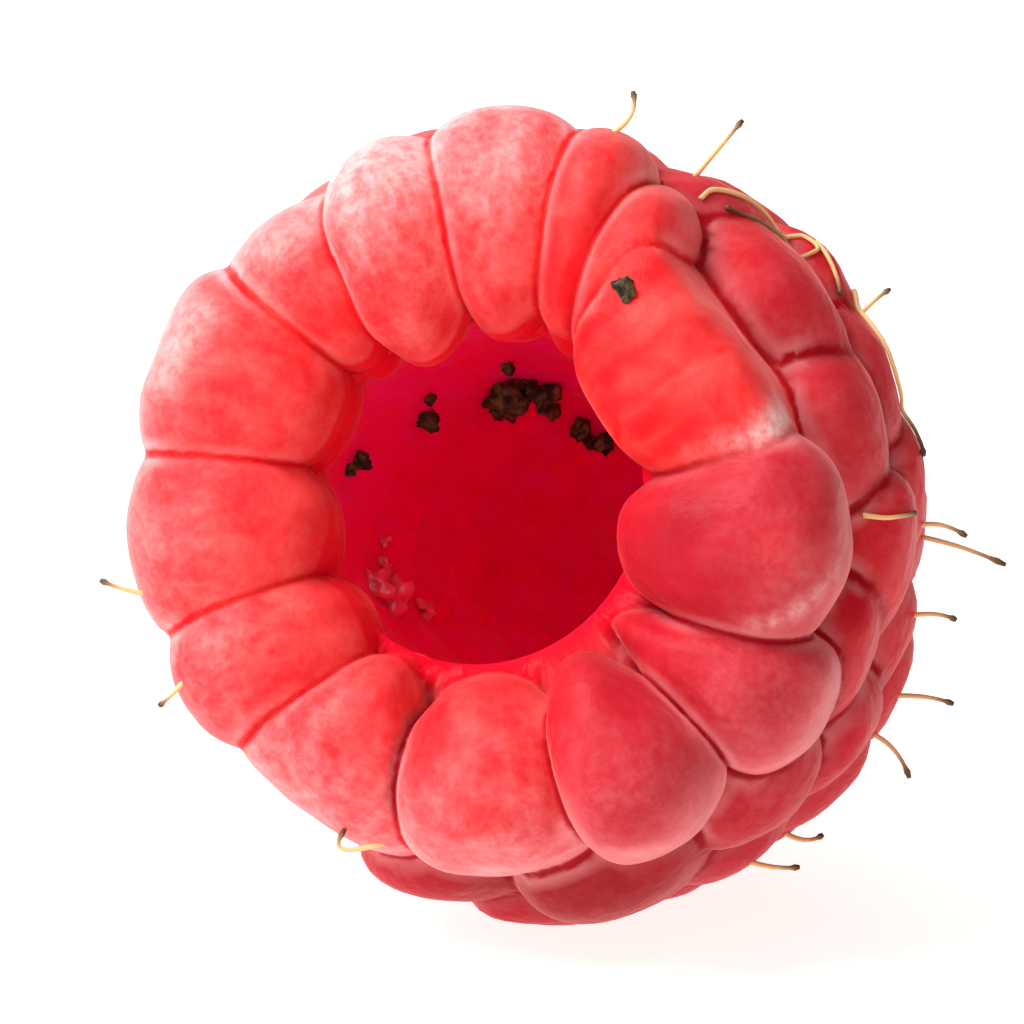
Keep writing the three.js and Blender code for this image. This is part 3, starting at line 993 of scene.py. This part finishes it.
shreds = dict(
    # wet bits of pulp that tore as the core came away
    row=[
        ((-3.99, 7.98, -1.52), 0.35), ((-3.82, 6.92, -2.14), 0.6), ((-3.6, 7.5, -2.37), 0.9),
        ((-3.21, 9.19, -2.47), 0.4), ((-4.13, 8.25, -0.91), 0.25),
    ],
    press=0.3,
    crumple=1.0,
    scatter=0.5,  # mm that light travels in them
    colour="#ff6078",
)
crumpling = dict(
    # folds across a lump, the finer ones over them and their share, and how uneven its outline is
    folds=1.3,
    fineFolds=3.1,
    fineShare=0.6,
    apart=7.1,  # from one lump's folds to the next one's
    stretch=0.25,
)


def makeLumps(name, lumps, berry):
    # small crumpled lumps that stick to the berry
    bm = bmesh.new()
    skinFinder = skinOf(berry)
    for index, (place, width) in enumerate(lumps["row"]):
        foot, out = skinFinder.find_nearest(Vector(place))[:2]
        lump = bmesh.ops.create_icosphere(bm, subdivisions=3, radius=width / 2)["verts"]
        ownFolds = Vector((crumpling["apart"] * index, 0, 0))
        for vert in lump:
            away = vert.co.normalized()
            fold = noise.noise(away * crumpling["folds"] + ownFolds)
            fold += crumpling["fineShare"] * noise.noise(away * crumpling["fineFolds"])
            vert.co = vert.co * (1 + lumps["crumple"] * fold)
        stretch = [1 + crumpling["stretch"] * draw(index, salt) for salt in (31, 32)]
        bmesh.ops.scale(bm, verts=lump, vec=(*stretch, 1))
        bmesh.ops.translate(bm, verts=lump, vec=foot + out * width * (0.5 - lumps["press"]))
    for face in bm.faces:
        face.smooth = True
    bm.transform(toFrame)
    return meshObject(name, bm)


def makeShredSkin():
    # Torn raspberry pulp: clear wet pink jelly with a bright glint on each shred.
    material, tree = newMaterial("tornPulp")
    shader = addNode(tree, "ShaderNodeBsdfPrincipled", {
        "Base Color": srgb(shreds["colour"]),
        "Roughness": 0.12,
        "Subsurface Weight": 0.6,
        "Subsurface Radius": (1.0, 0.25, 0.25),
        "Subsurface Scale": shreds["scatter"] * mm,
        "Coat Weight": 1.0,
        "Coat Roughness": 0.05,
    })
    addNode(tree, "ShaderNodeOutputMaterial", {"Surface": shader.outputs[0]})
    return material


def makeCrumbSkin():
    # Dried flower crumbs: rough brown-green flakes, nearly black in their folds and olive on their edges.
    material, tree = newMaterial("driedFlowerCrumb")
    place = addNode(tree, "ShaderNodeTexCoord").outputs["Object"]
    flakes = addNode(tree, "ShaderNodeTexNoise",
                     {"Vector": place, "Scale": 1 / (crumbs["flake"] * mm), "Detail": 3.0})
    ramp = addNode(tree, "ShaderNodeValToRGB", {"Fac": flakes.outputs["Fac"]})
    ramp.color_ramp.elements[0].color = srgb(crumbs["foldColour"])
    ramp.color_ramp.elements[1].color = srgb(crumbs["edgeColour"])
    ramp.color_ramp.elements[0].position = 0.42
    ramp.color_ramp.elements[1].position = 0.68
    rough = addNode(tree, "ShaderNodeBump",
                    {"Height": flakes.outputs["Fac"], "Strength": 0.7, "Distance": 0.08 * mm})
    shader = addNode(tree, "ShaderNodeBsdfPrincipled", {
        "Base Color": ramp.outputs[0], "Normal": rough.outputs[0], "Roughness": 0.85,
    })
    addNode(tree, "ShaderNodeOutputMaterial", {"Surface": shader.outputs[0]})
    return material


stage = dict(
    floor="#a2a2a2",
    floorHalf=1.5,  # m from its middle to its edges
    glow="#fff8f4",
    floorGlow=0.93,
    sky="#ffffff",
    brightSky=0.76,
    dimSky=0.0,
    brightSide=(-0.7, -0.64, 0.3),
    lights=[
        # place and width in mm, watts and colour
        ("windowBehind", (-340, 320, 200), 450, 1.4, "#fffaf5"),
        ("ceiling", (-350, -340, 650), 500, 8.6, "#ffffff"),
    ],
    lightsAim=(0, 0, 9),
)
camera = dict(
    azimuth=17.5 * degree,
    elevation=13 * degree,
    distance=500,
    frameWidth=25.2,
    sensor=36,
    right=-1.34,  # how far it aims beside and above the berry's middle
    up=-0.7,
)


def makeFloor():
    bm = bmesh.new()
    bmesh.ops.create_grid(bm, x_segments=1, y_segments=1, size=stage["floorHalf"])
    floor = meshObject("floor", bm)
    # Opal acrylic of a light table: lit from below, so that shadows are faint.
    material, tree = newMaterial("opalAcrylic")
    shader = addNode(tree, "ShaderNodeBsdfPrincipled", {
        "Base Color": srgb(stage["floor"]),
        "Roughness": 0.55,
        "Emission Color": srgb(stage["glow"]),
        "Emission Strength": stage["floorGlow"],
    })
    addNode(tree, "ShaderNodeOutputMaterial", {"Surface": shader.outputs[0]})
    floor.data.materials.append(material)


def addLight(name, place, size, power, colour):
    light = bpy.data.lights.new(name, "AREA")
    light.shape = "DISK"
    light.size = size * mm
    light.energy = power
    light.color = srgb(colour)[:3]
    obj = bpy.data.objects.new(name, light)
    obj.location = Vector(place) * mm
    aim = Vector(stage["lightsAim"]) * mm
    obj.rotation_euler = (aim - obj.location).to_track_quat("-Z", "Y").to_euler()
    bpy.context.scene.collection.objects.link(obj)


def makeLight():
    # a white room whose windows are on the left; the right side is dimmer
    world = bpy.data.worlds.new("whiteRoom")
    world.use_nodes = True
    tree = world.node_tree
    towards = addNode(tree, "ShaderNodeTexCoord").outputs["Generated"]
    across = addNode(tree, "ShaderNodeVectorMath", {0: towards, 1: stage["brightSide"]},
                     operation="DOT_PRODUCT")
    glow = addNode(tree, "ShaderNodeMapRange",
                   {"Value": across.outputs["Value"], "From Min": -0.7, "From Max": 0.9,
                    "To Min": stage["dimSky"], "To Max": stage["brightSky"]})
    sky = tree.nodes["Background"]
    sky.inputs["Color"].default_value = srgb(stage["sky"])
    tree.links.new(glow.outputs[0], sky.inputs["Strength"])
    bpy.context.scene.world = world
    for light in stage["lights"]:
        addLight(*light)
    bpy.context.scene.view_settings.view_transform = "Standard"


def makeCamera():
    lens = camera["sensor"] * camera["distance"] / camera["frameWidth"]
    data = bpy.data.cameras.new("camera")
    data.sensor_width = camera["sensor"]
    data.lens = lens
    data.clip_start = 0.01
    data.clip_end = 10
    obj = bpy.data.objects.new("camera", data)
    bpy.context.scene.collection.objects.link(obj)
    bpy.context.scene.camera = obj
    low, high = cadBox
    aim = (Vector(low) + Vector(high)) / 2
    across = Vector((math.cos(camera["azimuth"]), math.sin(camera["azimuth"]), 0))
    aim += across * camera["right"] * mm + Vector((0, 0, camera["up"] * mm))
    ring = math.cos(camera["elevation"])
    away = Vector((
        math.sin(camera["azimuth"]) * ring,
        -math.cos(camera["azimuth"]) * ring,
        math.sin(camera["elevation"]),
    ))
    obj.location = aim + away * camera["distance"] * mm
    obj.rotation_euler = (-away).to_track_quat("-Z", "Y").to_euler()


makeCamera()
makeLight()
makeFloor()
print("stage, light and camera are set")

rimRow = rimDrupelets()
placed = [placeDrupelet(d) for d in rimRow + packedDrupelets(rimRow)]
print("drupelets placed:", len(placed))
berry = fuseBerry(placed)
pressFlat(berry)
berry.data.materials.clear()
berry.data.materials.append(makeDrupeletSkin())
markBerry(berry, placed)
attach(berry, "root")
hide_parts("raspberry")
print("berry fused, triangles:", sum(len(f.vertices) - 2 for f in berry.data.polygons))

styleHairs = makeStyles(placed, berry)
styleHairs.data.materials.append(makeStyleSkin())
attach(styleHairs, "root")
print("dried styles grown")

flowerCrumbs = makeLumps("crumbs", crumbs, berry)
flowerCrumbs.data.materials.append(makeCrumbSkin())
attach(flowerCrumbs, "root")
pulpShreds = makeLumps("shreds", shreds, berry)
pulpShreds.data.materials.append(makeShredSkin())
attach(pulpShreds, "root")
print("crumbs and shreds stuck in the hollow")
